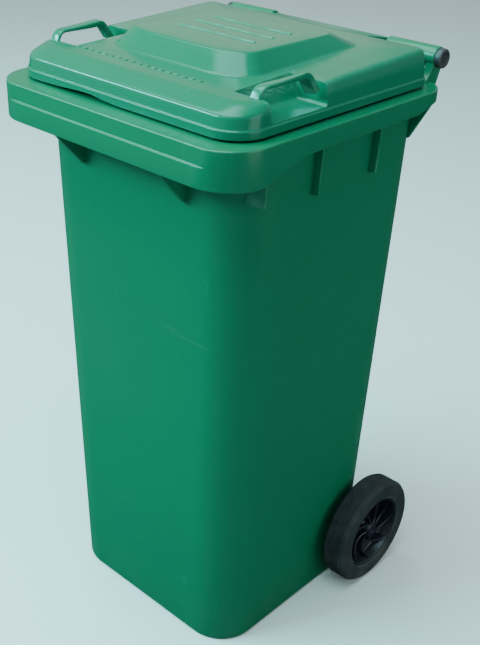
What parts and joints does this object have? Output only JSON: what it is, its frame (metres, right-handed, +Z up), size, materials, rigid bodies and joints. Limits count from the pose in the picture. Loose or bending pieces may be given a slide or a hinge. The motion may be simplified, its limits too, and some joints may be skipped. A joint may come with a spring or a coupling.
{
  "type": "wheelie bin",
  "caption": "Tapered plastic wheeled bin with a comb rim, rear hand grips, a hinged lid with a raised panel and two lid handles, and rubber-tyred wheels on a steel axle.",
  "frame": {"origin": "on the ground, at the middle of the whole bin's plan", "axes": "+Z up, -Y towards the front, +X to the right as seen from the front"},
  "size_m": [0.504, 0.516, 0.975],
  "materials": {
    "green_hdpe": "smooth gloss, injection-moulded polyethylene",
    "lid_hdpe": "fine-grained gloss, injection-moulded polyethylene",
    "grey_nylon": "matt moulded nylon",
    "black_pp": "satin moulded polypropylene",
    "tyre_rubber": "matt solid rubber, dusty tread",
    "zinc_steel": "bright zinc-plated steel"
  },
  "bodies": {
    "bin": {"body_shell": "green_hdpe", "hinge_pin_left": "grey_nylon", "hinge_pin_right": "grey_nylon", "axle": "zinc_steel", "axle_spacer_left": "grey_nylon", "axle_spacer_right": "grey_nylon"},
    "lid": {"lid": "lid_hdpe"},
    "wheel_left": {"wheel_hub_left": "black_pp", "wheel_tyre_left": "tyre_rubber", "hub_cap_left": "black_pp", "lock_bush_left": "black_pp", "lock_spring_left": "zinc_steel"},
    "lock_left": {"lock_plunger_left": "grey_nylon"},
    "wheel_right": {"wheel_hub_right": "black_pp", "wheel_tyre_right": "tyre_rubber", "hub_cap_right": "black_pp", "lock_bush_right": "black_pp", "lock_spring_right": "zinc_steel"},
    "lock_right": {"lock_plunger_right": "grey_nylon"}
  },
  "joints": [
    {"name": "lid_hinge", "type": "hinge", "parent": "bin", "child": "lid", "pos_m": [0, 0.229, 0.935], "axis": [-1, 0, 0], "range_deg": [0, 240]},
    {"name": "wheel_left_spin", "type": "hinge", "parent": "bin", "child": "wheel_left", "pos_m": [-0.23, 0.158, 0.1], "axis": [1, 0, 0], "continuous": true},
    {"name": "lock_left_release", "type": "slide", "parent": "wheel_left", "child": "lock_left", "axis": [0, 0, 1], "range_m": [0, 0.0024], "stiffness_N_per_m": 500, "springref_m": -0.003, "deforming": ["lock_spring_left"]},
    {"name": "wheel_right_spin", "type": "hinge", "parent": "bin", "child": "wheel_right", "pos_m": [0.23, 0.158, 0.1], "axis": [1, 0, 0], "continuous": true},
    {"name": "lock_right_release", "type": "slide", "parent": "wheel_right", "child": "lock_right", "axis": [0, 0, 1], "range_m": [0, 0.0024], "stiffness_N_per_m": 500, "springref_m": -0.003, "deforming": ["lock_spring_right"]}
  ]
}
